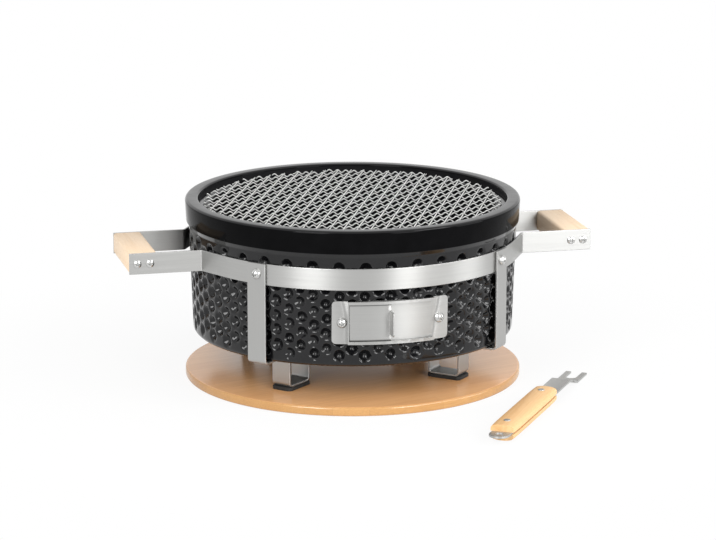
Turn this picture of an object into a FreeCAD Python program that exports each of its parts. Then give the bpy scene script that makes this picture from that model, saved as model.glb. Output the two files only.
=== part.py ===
"""Round ceramic table grill with wooden handles, standing on a bamboo board, and its grid lifter.

Millimetres, +Z up. The origin is the middle of the board's underside, on the table. The air door
faces -Y and the handles lie along X. Angles round the body are counted from -Y towards +X.
"""
import FreeCAD, Part
import math
import os

from FreeCAD import Vector

# Bamboo board
BOARD_OVER = 1.0            # board edge beyond the rim
BOARD_T = 9.0
BOARD_EDGE_R = 2.5
EDGE_SIDES = 1              # flats that stand for a small round on a turned piece

# Flat steel strip used for the band, the arms and the leg straps
STRIP_W = 21.0
STRIP_T = 2.0
STRIP_BEND_R = 3.0          # inside radius of a bend
BEND_SIDES = 2              # flats that stand for a small bend
STRIP_FIT = 0.1             # between two strips that are bolted together

# Ceramic bowl
BOWL_H = 135.4
BOWL_FOOT_R = 160.6         # outer radius at the bottom, before the edge is rounded
BOWL_FLARE = 3.6            # radius under the rim beyond that of the bottom
BOWL_EDGE_R = 5.0           # round of the bottom edge
BOWL_FLOOR_T = 15.0
RIM_OVER = 3.8              # radius of the rim beyond the neck's
RIM_T = 13.8
RIM_LEAN = 1.2              # the rim's outer face leans out by this much at the top
RIM_H = 27.0                # neck to top
RIM_FLARE_H = 8.0           # the slope from the neck out to the rim
RIM_OUT_ROUND = 3.0         # rounds beside the flat top
RIM_IN_ROUND = 2.5
RIM_SIDES = 1               # flats that stand for each round
GRID_LEDGE_DROP = 7.6       # rim top down to the ledge that carries the cooking grid
GRID_LEDGE_W = 13.2
GRATE_LEDGE_UP = 50.2       # bowl floor up to the ledge that carries the charcoal grate
GRATE_LEDGE_W = 15.0

# Steel band round the bowl, with its arms
BAND_TOP_DROP = 37.0        # rim top down to the band's upper edge
BAND_FIT = 0.3
ARM_Y = 48.0                # outer face of an arm, from the middle plane
ARM_BEND_OUT = 7.07         # bend of an arm, beyond the band's middle line
ARM_LEN = 69.3              # bend to the arm's end
ARM_BEND_R = 6.0

# Wooden handles
HANDLE_W = 28.0
HANDLE_ROUND = 3.0

# Leg straps and feet
FOOT_H = 34.3               # top of a pad up to the top of the strap
FOOT_INSET = 33.6           # bottom edge of the bowl in to a foot's outer face
FOOT_LEN = 35.0
LEG_ANGLE = 47.0
PAD_T = 3.5
PAD_OVER = 1.0              # pad edge beyond the strip
PAD_CORNER = 3.0
JOGGLE_IN = 18.0            # where the lower strap dips under the other, from the middle
JOGGLE_RUN = 8.0
RIVET_R = 3.0
RIVET_HEAD_R = 6.0
RIVET_HEAD_T = 2.0

# Dome-headed bolts on the legs and the air door
FIXING_SIDES = 12           # flat sides of bolts and of their holes
BOLT_R = 2.5
BOLT_HEAD_R = 5.0
BOLT_HEAD_T = 4.4
BOLT_CROWN_R = 2.6          # flat crown on the dome
BOLT_FIT = 0.15             # hole round a shank

# Air door: frame plate, rails, sliding door
VENT_DROP = 10.95           # lower edge of the band down to the frame plate
VENT_H = 42.5
VENT_BOLT_GAP = 0.6         # end stop to a bolt's head
VENT_EAR = 10.65            # bolt to the end of the plate
VENT_CORNER_R = 4.0
VENT_PLATE_T = 1.5
VENT_PLATE_FIT = 0.1
RAIL_ANGLE = 14.7           # half the channel, from its end stop to its open end
RAIL_STOP_ANGLE = 0.4
RAIL_H = 6.0
RAIL_T = 1.2
DOOR_T = 1.4
DOOR_PLAY = 0.4
DOOR_PLAY_ANGLE = 0.2
DOOR_EDGE_ANGLE = -0.5      # the door's free edge when shut, at the finger tab
TAB_H = 24.0
TAB_OUT = 13.0
TAB_ROUND = 3.0
INLET_W = 33.0
INLET_H = 24.0
INLET_X = -22.0             # middle of the air inlet

# Charcoal grate
GRATE_T = 5.0
GRATE_PLAY = 1.0
GRATE_SLOT_W = 12.0
GRATE_BAR_W = 9.0
GRATE_RING_W = 17.0

# Woven cooking grid
WIRE_D = 1.25
GRID_EDGE_PLAY = 5.2        # rim bore in to the wires' ends
GRID_TURN = 66.9            # direction of the warp wires, from +X
WARP_PITCH = 13.1
WEFT_PITCH = 15.4
WEAVE_GAP = 0.2             # between crossing wires
GRID_SEAT = 0.1

# Grid lifter, lying on the table
LIFTER_CLEAR = 36.0         # board edge to the grip
LIFTER_SLIDE = -69.8        # middle of the lifter along its own line, from abreast of the grill
LIFTER_TURN = 56.5
LIFTER_LEN = 270.0
LIFTER_STRIP_W = 20.0
LIFTER_STRIP_T = 2.0
LIFTER_BEND_R = 3.0
GRIP_START = 18.0           # tail end to the grip
GRIP_LEN = 143.0
GRIP_W = 24.0
GRIP_SCALE_T = 7.0
GRIP_ROUND = 3.0
HANG_HOLE_R = 4.0
FORK_W = 22.0
FORK_LEN = 34.0             # flat end of the blade, with the fork in it
FORK_SLOPE = 20.0           # length of the slope down to it
FORK_GAP_W = 11.0
FORK_GAP_LEN = 25.0

# Heights that follow from the stack on the table
Z_PAD = BOARD_T
Z_FOOT = Z_PAD + PAD_T
Z_BOWL = Z_FOOT + FOOT_H
Z_STRAP = Z_BOWL - STRIP_T / 2
Z_RIM = Z_BOWL + BOWL_H
Z_NECK = Z_RIM - RIM_H
Z_BAND_TOP = Z_RIM - BAND_TOP_DROP
Z_BAND = Z_BAND_TOP - STRIP_W / 2
VENT_Z = Z_BAND - STRIP_W / 2 - VENT_DROP - VENT_H / 2
Z_FLOOR = Z_BOWL + BOWL_FLOOR_T
Z_GRATE = Z_FLOOR + GRATE_LEDGE_UP
Z_LEDGE = Z_RIM - GRID_LEDGE_DROP

# Radii that follow from the bowl's bottom, outwards and inwards
BOWL_NECK_R = BOWL_FOOT_R + BOWL_FLARE
RIM_R = BOWL_NECK_R + RIM_OVER
RIM_BORE_R = RIM_R - RIM_T
FIREBOX_R = RIM_BORE_R - GRID_LEDGE_W
ASH_PIT_R = FIREBOX_R - GRATE_LEDGE_W
GRID_R = RIM_BORE_R - GRID_EDGE_PLAY
BOARD_R = RIM_R + BOARD_OVER
FOOT_OUT_R = BOWL_FOOT_R - FOOT_INSET

Z_AXIS = Vector(0, 0, 1)
ORIGIN = Vector(0, 0, 0)


def bowl_r(z):
    """Outer radius of the bowl's slightly flared wall at a height."""
    return BOWL_FOOT_R + (BOWL_NECK_R - BOWL_FOOT_R) * (z - Z_BOWL) / (Z_NECK - Z_BOWL)


BAND_IN_R = bowl_r(Z_BAND_TOP) + BAND_FIT
BAND_R = BAND_IN_R + STRIP_T / 2
LEG_IN_R = BAND_IN_R + STRIP_T + STRIP_FIT
LEG_R = LEG_IN_R + STRIP_T / 2
LEG_OUT_R = LEG_R + STRIP_T / 2
ARM_MID_Y = ARM_Y - STRIP_T / 2
ARM_BEND_X = math.sqrt((BAND_R + ARM_BEND_OUT) ** 2 - ARM_MID_Y ** 2)
ARM_END_X = ARM_BEND_X + ARM_LEN
VENT_BOLT_ANGLE = RAIL_ANGLE + RAIL_STOP_ANGLE + math.degrees((BOLT_HEAD_R + VENT_BOLT_GAP) / bowl_r(VENT_Z))
VENT_ANGLE = VENT_BOLT_ANGLE + math.degrees(VENT_EAR / bowl_r(VENT_Z))


def polar(shape, angle):
    """Turns a shape built facing +X so that it faces the given angle from -Y."""
    shape.rotate(ORIGIN, Z_AXIS, angle - 90)
    return shape


def round_corner(before, corner, after, radius, flats):
    """Points of a corner's round, taken as a few flats that touch the true arc at both ends."""
    a, b = (before - corner).normalize(), (after - corner).normalize()
    half = a.getAngle(b) / 2
    centre = corner + (a + b).normalize() * (radius / math.sin(half))
    start = corner + a * (radius / math.tan(half)) - centre
    normal = a.cross(b)
    turn = math.degrees(math.pi - 2 * half) / flats
    return [centre + FreeCAD.Rotation(normal, -turn * k).multVec(start) for k in range(flats + 1)]


def profile(points):
    """Face in the XZ plane from a closed list of (r, z) corners.

    A rounded corner is (r, z, radius, flats).
    """
    corners = [Vector(p[0], 0, p[1]) for p in points]
    ring = []
    for i, p in enumerate(points):
        if len(p) == 2:
            ring.append(corners[i])
        else:
            ring += round_corner(corners[i - 1], corners[i], corners[(i + 1) % len(points)], *p[2:])
    ring = [p for k, p in enumerate(ring) if p.distanceToPoint(ring[k - 1]) > 1e-6]
    return Part.Face(Part.makePolygon(ring + ring[:1]))


def turned(points):
    """Solid of revolution about Z."""
    return profile(points).revolve(ORIGIN, Z_AXIS, 360)


def flat_ring(x, r):
    """Polygon across X with the sides of a fixing."""
    step = 2 * math.pi / FIXING_SIDES
    ring = [Vector(x, r * math.cos(k * step), r * math.sin(k * step)) for k in range(FIXING_SIDES)]
    return Part.makePolygon(ring + ring[:1])


def faceted(points):
    """Small turned piece along X with a few flat sides, from (x, r) stations."""
    spans = [Part.makeLoft([flat_ring(*p), flat_ring(*q)], True, True)
             for p, q in zip(points, points[1:]) if q[0] > p[0]]
    return spans[0].fuse(spans[1:]).removeSplitter() if spans[1:] else spans[0]


def ring_part(points, start, end):
    """Part of a ring between two angles from -Y."""
    face = polar(profile(points), start)
    return face.revolve(ORIGIN, Z_AXIS, end - start)


def on_wall(points):
    """Moves (outward, z) points onto the bowl's flared wall."""
    return [(bowl_r(z) + n, z) for n, z in points]


def strip_face(path, bends, thick):
    """Face in the XY plane: a strip of one thickness along straight runs with bends.

    Each bend is its middle line's radius and how many flats stand for it, 0 for a true arc.
    """
    pts = [Vector(x, y, 0) for x, y in path]
    left, right = [], []
    for i, p in enumerate(pts):
        if i in (0, len(pts) - 1):
            q = pts[1] if i == 0 else pts[-2]
            d = (q - p if i == 0 else p - q).normalize()
            n = Vector(-d.y, d.x, 0) * (thick / 2)
            left.append((False, p + n))
            right.append((False, p - n))
            continue
        d1, d2 = (p - pts[i - 1]).normalize(), (pts[i + 1] - p).normalize()
        turn = math.atan2(d1.cross(d2).z, d1.dot(d2))
        side = math.copysign(1, turn)
        r, flats = bends[i - 1]
        n1 = Vector(-d1.y, d1.x, 0) * side
        centre = p - d1 * (r * math.tan(abs(turn) / 2)) + n1 * r
        for chain, s in ((left, 1), (right, -1)):
            rr = r - s * side * thick / 2
            steps = flats or 2
            spoke = [FreeCAD.Rotation(Z_AXIS, math.degrees(turn) * k / steps).multVec(n1)
                     for k in range(steps + 1)]
            chain.append((not flats, *[centre - n * rr for n in spoke]))
    edges = []
    for chain in (left, right):
        for k, (arc, *points) in enumerate(chain):
            if arc:
                edges.append(Part.Arc(*points).toShape())
            else:
                edges += [Part.LineSegment(p, q).toShape() for p, q in zip(points, points[1:])]
            if k:
                edges.append(Part.LineSegment(chain[k - 1][-1], points[0]).toShape())
    for k in (0, -1):
        edges.append(Part.LineSegment(left[k][-1], right[k][-1]).toShape())
    return Part.Face(Part.Wire(Part.__sortEdges__(edges)))


def block(x0, x1, y0, y1, z0, z1):
    return Part.makeBox(x1 - x0, y1 - y0, z1 - z0, Vector(x0, y0, z0))


def edges_along(solid, direction):
    """The edges of a block that run along a direction."""
    return [e for e in solid.Edges
            if abs(abs(e.tangentAt(e.FirstParameter).dot(direction)) - 1) < 1e-6]


def rounded(solid, radius, direction):
    return solid.makeFillet(radius, edges_along(solid, direction))


def bamboo_board():
    return turned([(0, 0), (BOARD_R, 0, BOARD_EDGE_R, EDGE_SIDES),
                   (BOARD_R, BOARD_T, BOARD_EDGE_R, EDGE_SIDES), (0, BOARD_T)])


def ceramic_base():
    """Floor of the bowl. Base, wall and rim are one thick glazed pot, stacked here as three rings."""
    return turned([(0, Z_BOWL), (BOWL_FOOT_R, Z_BOWL, BOWL_EDGE_R, EDGE_SIDES),
                   (bowl_r(Z_FLOOR), Z_FLOOR), (0, Z_FLOOR)])


def ceramic_wall():
    """Wall round the ash pit, with the air inlet; its top is the ledge that carries the grate."""
    wall = turned([(ASH_PIT_R, Z_FLOOR), (bowl_r(Z_FLOOR), Z_FLOOR),
                   (bowl_r(Z_GRATE), Z_GRATE), (ASH_PIT_R, Z_GRATE)])
    return wall.cut(air_inlet())


def ceramic_rim():
    """Wall round the firebox and the thick rim, with the ledge that carries the cooking grid."""
    return turned([
        (FIREBOX_R, Z_GRATE),
        (bowl_r(Z_GRATE), Z_GRATE),
        (BOWL_NECK_R, Z_NECK),
        (RIM_R - RIM_LEAN, Z_NECK + RIM_FLARE_H),
        (RIM_R, Z_RIM, RIM_OUT_ROUND, RIM_SIDES),
        (RIM_BORE_R, Z_RIM, RIM_IN_ROUND, RIM_SIDES),
        (RIM_BORE_R, Z_LEDGE),
        (FIREBOX_R, Z_LEDGE),
    ])


def air_inlet():
    """Straight passage through the wall, behind the shut door."""
    return block(INLET_X - INLET_W / 2, INLET_X + INLET_W / 2, -RIM_R - STRIP_W, 0,
                 VENT_Z - INLET_H / 2, VENT_Z + INLET_H / 2)


def arm_path(y_sign=-1):
    """Middle line of one half of the band: arm, bend, tangent to the bowl and round it."""
    y = ARM_MID_Y
    tangent = math.atan2(y, ARM_BEND_X) + math.acos(BAND_R / math.hypot(ARM_BEND_X, y))
    apex = BAND_R / math.sin(tangent)
    xs = (-ARM_END_X, -ARM_BEND_X, 0, ARM_BEND_X, ARM_END_X)
    ys = (y, y, apex, y, y)
    return [(x, y_sign * v) for x, v in zip(xs, ys)]


def band_half(y_sign):
    arm_bend = (ARM_BEND_R, BEND_SIDES)
    face = strip_face(arm_path(y_sign), (arm_bend, (BAND_R, 0), arm_bend), STRIP_T)
    face.translate(Vector(0, 0, Z_BAND - STRIP_W / 2))
    band = face.extrude(Vector(0, 0, STRIP_W))
    for angle in leg_angles(y_sign):
        band = band.cut(polar(leg_hole(), angle))
    return band


def leg_angles(y_sign):
    """The two leg angles on the front (-1) or rear (+1) half."""
    return (-LEG_ANGLE, LEG_ANGLE) if y_sign < 0 else (180 - LEG_ANGLE, 180 + LEG_ANGLE)


def leg_hole():
    hole = bolt_hole(BAND_IN_R - STRIP_T, LEG_OUT_R + STRIP_T)
    hole.translate(Vector(0, 0, Z_BAND))
    return hole


def vent_hole():
    """Hole through the frame plate."""
    hole = bolt_hole(bowl_r(VENT_Z) - VENT_FACE, bowl_r(VENT_Z) + 2 * VENT_FACE)
    hole.translate(Vector(0, 0, VENT_Z))
    return hole


def dome_bolt(seat, length):
    """Dome-headed bolt along X: head seated at x = seat, shank reaching inwards."""
    return faceted([(seat - length, BOLT_R), (seat, BOLT_R), (seat, BOLT_HEAD_R),
                    (seat + BOLT_HEAD_T, BOLT_CROWN_R)])


def bolt_hole(x0, x1):
    return faceted([(x0, BOLT_R + BOLT_FIT), (x1, BOLT_R + BOLT_FIT)])


def leg_bolt(angle):
    bolt = dome_bolt(LEG_OUT_R, LEG_OUT_R - BAND_IN_R)
    bolt.translate(Vector(0, 0, Z_BAND))
    return polar(bolt, angle)


def vent_bolt(angle):
    seat = bowl_r(VENT_Z + BOLT_HEAD_R) + VENT_FACE
    bolt = dome_bolt(seat, seat - bowl_r(VENT_Z + BOLT_HEAD_R))
    bolt.translate(Vector(0, 0, VENT_Z))
    return polar(bolt, angle)


def fixings():
    """Leg bolts, air door bolts and the rivet where the straps cross."""
    bolts = [leg_bolt(angle) for angle in leg_angles(-1) + leg_angles(1)]
    bolts += [vent_bolt(angle) for angle in (-VENT_BOLT_ANGLE, VENT_BOLT_ANGLE)]
    return Part.makeCompound(bolts + [strap_rivet()])


def leg_strap(dip, angle):
    """One strap: leg, foot, run under the bowl, foot and leg; dip lets it pass under the other."""
    half = STRIP_T / 2
    z_foot = Z_FOOT + half
    foot_out, foot_in = FOOT_OUT_R - half, FOOT_OUT_R - FOOT_LEN + half
    side = [(LEG_R, Z_BAND_TOP), (LEG_R, Z_STRAP), (foot_out, Z_STRAP), (foot_out, z_foot),
            (foot_in, z_foot), (foot_in, Z_STRAP)]
    if dip:
        side += [(JOGGLE_IN + JOGGLE_RUN, Z_STRAP), (JOGGLE_IN, Z_STRAP - dip)]
    path = side + [(-r, z) for r, z in reversed(side)]
    bends = [(STRIP_BEND_R + half, BEND_SIDES)] * (len(path) - 2)
    strap = strip_face(path, bends, STRIP_T).extrude(Vector(0, 0, STRIP_W))
    strap.translate(Vector(0, 0, -STRIP_W / 2))
    strap.rotate(ORIGIN, Vector(1, 0, 0), 90)
    for turn in (0, 180):
        hole = leg_hole()
        hole.rotate(ORIGIN, Z_AXIS, turn)
        strap = strap.cut(hole)
    hole = faceted([(0, RIVET_R + BOLT_FIT), (Z_BOWL + STRIP_T, RIVET_R + BOLT_FIT)])
    hole.rotate(ORIGIN, Vector(0, 1, 0), -90)
    strap = strap.cut(hole)
    return polar(strap, angle)


STRAP_DIP = STRIP_T + STRIP_FIT


def strap_rivet():
    """Rivet through both straps where they cross, flush on top under the bowl."""
    under = Z_BOWL - STRIP_T - STRAP_DIP
    rivet = faceted([(under - RIVET_HEAD_T, RIVET_HEAD_R), (under, RIVET_HEAD_R),
                     (under, RIVET_R), (Z_BOWL, RIVET_R)])
    rivet.rotate(ORIGIN, Vector(0, 1, 0), -90)
    return rivet


def foot_pad(angle):
    """Rubber pad under a foot."""
    pad = block(FOOT_OUT_R - FOOT_LEN - PAD_OVER, FOOT_OUT_R + PAD_OVER,
                -STRIP_W / 2 - PAD_OVER, STRIP_W / 2 + PAD_OVER, Z_PAD, Z_FOOT)
    return polar(pad.makeChamfer(PAD_CORNER, edges_along(pad, Z_AXIS)), angle)


def handle(x_sign):
    """Wooden block held between the front and rear arms."""
    y = ARM_Y - STRIP_T
    wood = block(ARM_END_X - HANDLE_W, ARM_END_X, -y, y, Z_BAND - STRIP_W / 2, Z_BAND + STRIP_W / 2)
    wood = rounded(wood, HANDLE_ROUND, Vector(0, 1, 0))
    if x_sign < 0:
        wood.rotate(ORIGIN, Z_AXIS, 180)
    return wood


VENT_Z0, VENT_Z1 = VENT_Z - VENT_H / 2, VENT_Z + VENT_H / 2
VENT_FACE = VENT_PLATE_FIT + VENT_PLATE_T          # outer face of the frame plate, from the wall
DOOR_IN = VENT_FACE + DOOR_PLAY
LIP_IN = DOOR_IN + DOOR_T + DOOR_PLAY
LIP_OUT = LIP_IN + RAIL_T


def vent_frame():
    """Curved plate with round corners and a window, and the channel, shut at one end, for the door."""
    plate = ring_part(on_wall([(VENT_PLATE_FIT, VENT_Z0), (VENT_FACE, VENT_Z0),
                               (VENT_FACE, VENT_Z1), (VENT_PLATE_FIT, VENT_Z1)]),
                      -VENT_ANGLE, VENT_ANGLE)
    half_w = (bowl_r(VENT_Z0) + VENT_PLATE_FIT) * math.sin(math.radians(VENT_ANGLE))
    outline = block(-half_w, half_w, -2 * RIM_R, 0, VENT_Z0, VENT_Z1)
    plate = plate.common(rounded(outline, VENT_CORNER_R, Vector(0, 1, 0)))
    frame = plate
    for edge, way in ((VENT_Z1, -1), (VENT_Z0, 1)):
        rail = on_wall([(VENT_FACE, edge), (LIP_OUT, edge), (LIP_OUT, edge + way * RAIL_H),
                        (LIP_IN, edge + way * RAIL_H), (LIP_IN, edge + way * RAIL_T),
                        (VENT_FACE, edge + way * RAIL_T)])
        frame = frame.fuse(ring_part(rail, -RAIL_ANGLE, RAIL_ANGLE))
    stop = on_wall([(VENT_FACE, VENT_Z0), (LIP_OUT, VENT_Z0), (LIP_OUT, VENT_Z1), (VENT_FACE, VENT_Z1)])
    frame = frame.fuse(ring_part(stop, -RAIL_ANGLE - RAIL_STOP_ANGLE, -RAIL_ANGLE))
    frame = frame.removeSplitter().cut(air_inlet())
    for angle in (-VENT_BOLT_ANGLE, VENT_BOLT_ANGLE):
        frame = frame.cut(polar(vent_hole(), angle))
    return frame


def vent_door():
    """Curved sliding plate with a finger tab along its free edge."""
    z0, z1 = VENT_Z0 + RAIL_T + DOOR_PLAY, VENT_Z1 - RAIL_T - DOOR_PLAY
    plate = ring_part(on_wall([(DOOR_IN, z0), (DOOR_IN + DOOR_T, z0), (DOOR_IN + DOOR_T, z1), (DOOR_IN, z1)]),
                      -RAIL_ANGLE + DOOR_PLAY_ANGLE, DOOR_EDGE_ANGLE)
    top, low = VENT_Z + TAB_H / 2, VENT_Z - TAB_H / 2
    root = bowl_r(top) + DOOR_IN
    tab = block(root, root + DOOR_T + TAB_OUT, -DOOR_T, 0, low, top)
    outer = [e for e in tab.Edges if abs(e.CenterOfMass.x - root - DOOR_T - TAB_OUT) < 1e-6
             and abs(e.tangentAt(0).y) > 0.9]
    tab = tab.makeFillet(TAB_ROUND, outer)
    return plate.fuse(polar(tab, DOOR_EDGE_ANGLE)).removeSplitter()


def charcoal_grate():
    """Round cast plate with a ring and parallel bars, loose on its ledge."""
    radius = FIREBOX_R - GRATE_PLAY
    grate = Part.makeCylinder(radius, GRATE_T, Vector(0, 0, Z_GRATE))
    pitch = GRATE_SLOT_W + GRATE_BAR_W
    inside = radius - GRATE_RING_W
    count = int((inside - GRATE_SLOT_W) // pitch)
    slots = []
    for k in range(-count, count + 1):
        y = k * pitch
        reach = math.sqrt(inside ** 2 - (abs(y) + GRATE_SLOT_W / 2) ** 2)
        slots.append(block(-reach, reach, y - GRATE_SLOT_W / 2, y + GRATE_SLOT_W / 2,
                           Z_GRATE - GRATE_T, Z_GRATE + 2 * GRATE_T))
    return grate.cut(Part.makeCompound(slots))


WIRE_SIDE = WIRE_D * math.sqrt(math.pi) / 2         # square wire of the round wire's section
WEFT_RISE = WIRE_SIDE + WEAVE_GAP                   # the weft climbs right over the straight warp
Z_GRID = Z_LEDGE + GRID_SEAT + WEFT_RISE + WIRE_SIDE / 2


def wire_places(pitch):
    """Wire positions across the grid, even about the middle; the outermost keep a chord worth a wire."""
    count = int((GRID_R - pitch / 2) // pitch)
    return [k * pitch for k in range(-count, count + 1)]


def wire(across, knots):
    """One square wire along X through (s, rise) knots, ending on the grid's round outline."""
    reach = math.sqrt(GRID_R ** 2 - across ** 2)
    knots = [k for k in knots if abs(k[0]) < reach - WIRE_D]
    ends = (knots[0][1], knots[-1][1]) if knots else (0, 0)
    line = [(-reach, ends[0])] + knots + [(reach, ends[1])]
    half = WIRE_SIDE / 2
    ring = [Vector(s, across - half, Z_GRID + z - half) for s, z in line]
    ring += [Vector(s, across - half, Z_GRID + z + half) for s, z in reversed(line)]
    return Part.Face(Part.makePolygon(ring + ring[:1])).extrude(Vector(0, WIRE_SIDE, 0))


def grid_warp():
    """Straight wires of the cooking grid."""
    grid = Part.makeCompound([wire(a, []) for a in wire_places(WARP_PITCH)])
    grid.rotate(ORIGIN, Z_AXIS, GRID_TURN)
    return grid


def grid_weft():
    """Crimped wires, each over one warp wire and under the next, its neighbours the other way."""
    wires = []
    for row, across in enumerate(wire_places(WEFT_PITCH)):
        knots = [(s, WEFT_RISE if (k + row) % 2 else -WEFT_RISE)
                 for k, s in enumerate(wire_places(WARP_PITCH))]
        wires.append(wire(across, knots))
    grid = Part.makeCompound(wires)
    grid.rotate(ORIGIN, Z_AXIS, GRID_TURN + 90)
    return grid


def lay_lifter(shape):
    """Places a piece of the lifter, built along X from its tail, on the table."""
    shape.translate(Vector(-LIFTER_LEN / 2, 0, 0))
    shape.rotate(ORIGIN, Z_AXIS, LIFTER_TURN)
    turn = math.radians(LIFTER_TURN)
    off = BOARD_R + LIFTER_CLEAR + GRIP_W / 2
    shape.translate(Vector(math.sin(turn), -math.cos(turn), 0) * off)
    shape.translate(Vector(math.cos(turn), math.sin(turn), 0) * LIFTER_SLIDE)
    return shape


def lifter_blade():
    """Steel strip with a hang hole at the tail and a fork at the bent-down end."""
    z_high = GRIP_SCALE_T + LIFTER_STRIP_T / 2
    z_low = LIFTER_STRIP_T / 2
    flat = LIFTER_LEN - FORK_LEN
    path = [(0, z_high), (flat - FORK_SLOPE, z_high), (flat, z_low), (LIFTER_LEN, z_low)]
    bend = (LIFTER_BEND_R + LIFTER_STRIP_T / 2, BEND_SIDES)
    strip = strip_face(path, (bend, bend), LIFTER_STRIP_T).extrude(Vector(0, 0, FORK_W))
    strip.translate(Vector(0, 0, -FORK_W / 2))
    strip.rotate(ORIGIN, Vector(1, 0, 0), 90)
    tall = 4 * GRIP_SCALE_T
    half = LIFTER_STRIP_W / 2
    tail = Part.makeCylinder(half, tall, Vector(half, 0, -GRIP_SCALE_T))
    body = block(half, flat, -half, half, -GRIP_SCALE_T, tall - GRIP_SCALE_T)
    fork = block(flat - FORK_SLOPE / 2, LIFTER_LEN, -FORK_W / 2, FORK_W / 2, -GRIP_SCALE_T,
                 tall - GRIP_SCALE_T)
    blade = strip.common(tail.fuse([body, fork]).removeSplitter())
    gap_end = LIFTER_LEN - FORK_GAP_LEN + FORK_GAP_W / 2
    gap = block(gap_end, LIFTER_LEN + tall, -FORK_GAP_W / 2, FORK_GAP_W / 2, -GRIP_SCALE_T, tall)
    gap = gap.fuse(Part.makeCylinder(FORK_GAP_W / 2, tall + GRIP_SCALE_T, Vector(gap_end, 0, -GRIP_SCALE_T)))
    hole = Part.makeCylinder(HANG_HOLE_R, tall, Vector(half, 0, -GRIP_SCALE_T))
    return lay_lifter(blade.cut(gap).cut(hole))


def lifter_scale(z0, rounded_z):
    """One of the two wooden grip scales, its outer long edges rounded."""
    scale = block(GRIP_START, GRIP_START + GRIP_LEN, -GRIP_W / 2, GRIP_W / 2, z0, z0 + GRIP_SCALE_T)
    edges = [e for e in scale.Edges
             if abs(e.CenterOfMass.z - rounded_z) < 1e-6 and abs(e.tangentAt(0).x) > 0.9]
    return lay_lifter(scale.makeFillet(GRIP_ROUND, edges))


Z_SCALE_TOP = GRIP_SCALE_T + LIFTER_STRIP_T

NODES = {
    "bamboo_board": bamboo_board(),
    "ceramic_base": ceramic_base(),
    "ceramic_wall": ceramic_wall(),
    "ceramic_rim": ceramic_rim(),
    "band_front": band_half(-1),
    "band_rear": band_half(1),
    "leg_strap_a": leg_strap(0, LEG_ANGLE),
    "leg_strap_b": leg_strap(STRAP_DIP, -LEG_ANGLE),
    "foot_pad_front_right": foot_pad(LEG_ANGLE),
    "foot_pad_front_left": foot_pad(-LEG_ANGLE),
    "foot_pad_rear_right": foot_pad(180 - LEG_ANGLE),
    "foot_pad_rear_left": foot_pad(180 + LEG_ANGLE),
    "fixings": fixings(),
    "handle_right": handle(1),
    "handle_left": handle(-1),
    "vent_frame": vent_frame(),
    "vent_door": vent_door(),
    "charcoal_grate": charcoal_grate(),
    "grid_warp": grid_warp(),
    "grid_weft": grid_weft(),
    "lifter_blade": lifter_blade(),
    "lifter_scale_lower": lifter_scale(0, 0),
    "lifter_scale_upper": lifter_scale(Z_SCALE_TOP, Z_SCALE_TOP + GRIP_SCALE_T),
}

os.makedirs("parts", exist_ok=True)
for name, shape in NODES.items():
    shape.exportStep(os.path.join("parts", name + ".step"))
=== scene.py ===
"""Looks of a round ceramic table grill on a bamboo board, with its grid lifter.

Lengths are metres, +Z is up, and angles round the bowl are counted from -Y towards +X.
"""
import math
from functools import partial

import bmesh
import bpy
import numpy as np
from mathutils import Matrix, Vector


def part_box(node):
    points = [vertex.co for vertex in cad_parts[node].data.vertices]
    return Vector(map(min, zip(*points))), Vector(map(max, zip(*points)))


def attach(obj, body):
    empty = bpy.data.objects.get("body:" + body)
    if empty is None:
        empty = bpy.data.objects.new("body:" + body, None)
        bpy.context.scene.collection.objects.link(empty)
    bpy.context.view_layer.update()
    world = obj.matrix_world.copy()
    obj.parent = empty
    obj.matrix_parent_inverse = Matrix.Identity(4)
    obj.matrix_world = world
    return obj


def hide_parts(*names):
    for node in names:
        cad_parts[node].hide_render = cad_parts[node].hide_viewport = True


bl_info = {
    "name": "Ceramic table grill",
    "version": (1, 0, 0),
    "blender": (4, 5, 0),
    "location": "3D View > Sidebar > Grill",
    "description": "Dresses the packed solids of a table grill with glaze, steel, wood and wire",
    "category": "Object",
}

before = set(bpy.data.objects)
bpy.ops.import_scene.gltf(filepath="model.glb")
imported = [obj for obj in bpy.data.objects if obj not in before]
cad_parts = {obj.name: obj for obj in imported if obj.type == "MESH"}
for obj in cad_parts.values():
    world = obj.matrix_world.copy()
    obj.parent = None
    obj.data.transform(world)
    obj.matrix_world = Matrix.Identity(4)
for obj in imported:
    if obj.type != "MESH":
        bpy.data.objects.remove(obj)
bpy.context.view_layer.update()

MM = 0.001
TAU = 2 * math.pi
MERGE = 1e-6  # points nearer than this are one
FLAT_ANGLE = math.radians(0.5)  # triangles that differ by less are one flat
SOFT_ANGLE = 35  # edges of a copied solid that turn by more degrees get a bevel

BOWL_LO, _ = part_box("ceramic_base")
_, BOWL_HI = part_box("ceramic_rim")
BAND_LO, BAND_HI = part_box("band_front")
STRAP_LO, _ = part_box("leg_strap_a")
GRID_LO, GRID_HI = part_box("grid_weft")
_, BOARD_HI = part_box("bamboo_board")
FRAME_LO, FRAME_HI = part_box("vent_frame")
GRIP_LO, GRIP_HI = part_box("lifter_scale_upper")

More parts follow.
